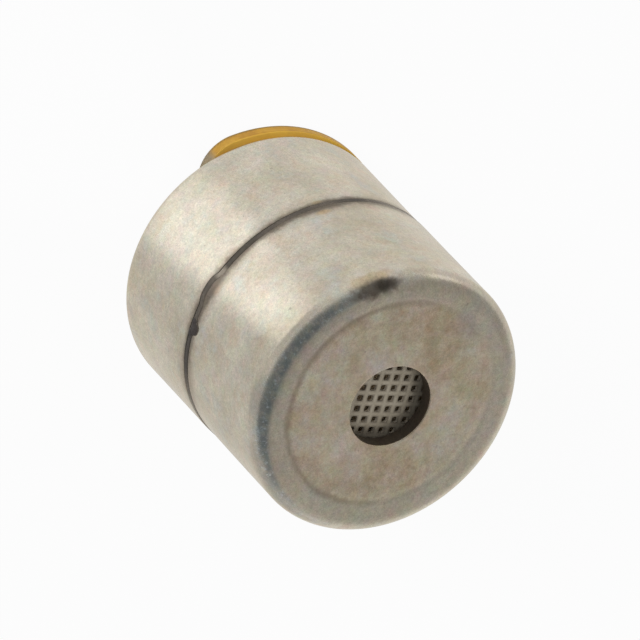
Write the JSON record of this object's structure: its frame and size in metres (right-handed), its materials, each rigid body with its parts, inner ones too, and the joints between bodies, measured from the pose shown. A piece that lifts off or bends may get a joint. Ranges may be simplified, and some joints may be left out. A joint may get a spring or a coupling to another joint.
{
  "type": "electret microphone capsule",
  "caption": "Sub-miniature cylindrical electret microphone: satin metal cups joined end to end, a mesh-screened sound port in the front face and an amber terminal board on the rear.",
  "frame": {"origin": "on the capsule's axis, at the underside of the solder on the terminals, which it stands on", "axes": "+Z along the capsule's axis towards the sound port, +X along the row of terminals from ground to supply"},
  "size_m": [0.0026, 0.0026, 0.0029],
  "materials": {
    "front_steel": "satin, tumbled",
    "rear_steel": "satin, tumbled",
    "adhesive": "matte",
    "screen_nickel": "satin",
    "brass": "turned",
    "metallised_film": "metallised film",
    "amber_film": "film",
    "clear_film": "film",
    "backplate_nickel": "satin",
    "ivory_plastic": "moulded",
    "copper": "turned",
    "white_ceramic": "as fired",
    "silicon": "lapped",
    "capacitor_ceramic": "fired, with metal ends",
    "amber_board": "amber laminate",
    "tinned_wire": "tinned",
    "bead_glass": "sealed glass",
    "pad_gold": "plated",
    "solder": "tinned"
  },
  "bodies": {
    "root": {"front_cup": "front_steel", "rear_cup": "rear_steel", "joint_seal": "adhesive", "port_screen": "screen_nickel", "screen_bond": "adhesive", "diaphragm_ring": "brass", "diaphragm": "metallised_film", "gap_spacer": "amber_film", "electret_layer": "clear_film", "backplate": "backplate_nickel", "backplate_holder": "ivory_plastic", "gate_ring": "copper", "amplifier_substrate": "white_ceramic", "transistor_die": "silicon", "filter_capacitor": "capacitor_ceramic", "coupling_capacitor": "capacitor_ceramic", "terminal_board": "amber_board", "ground_lead": "tinned_wire", "output_lead": "tinned_wire", "supply_lead": "tinned_wire", "ground_bead": "bead_glass", "output_bead": "bead_glass", "supply_bead": "bead_glass", "ground_pad": "pad_gold", "output_pad": "pad_gold", "supply_pad": "pad_gold", "ground_solder": "solder", "output_solder": "solder", "supply_solder": "solder"}
  },
  "joints": []
}
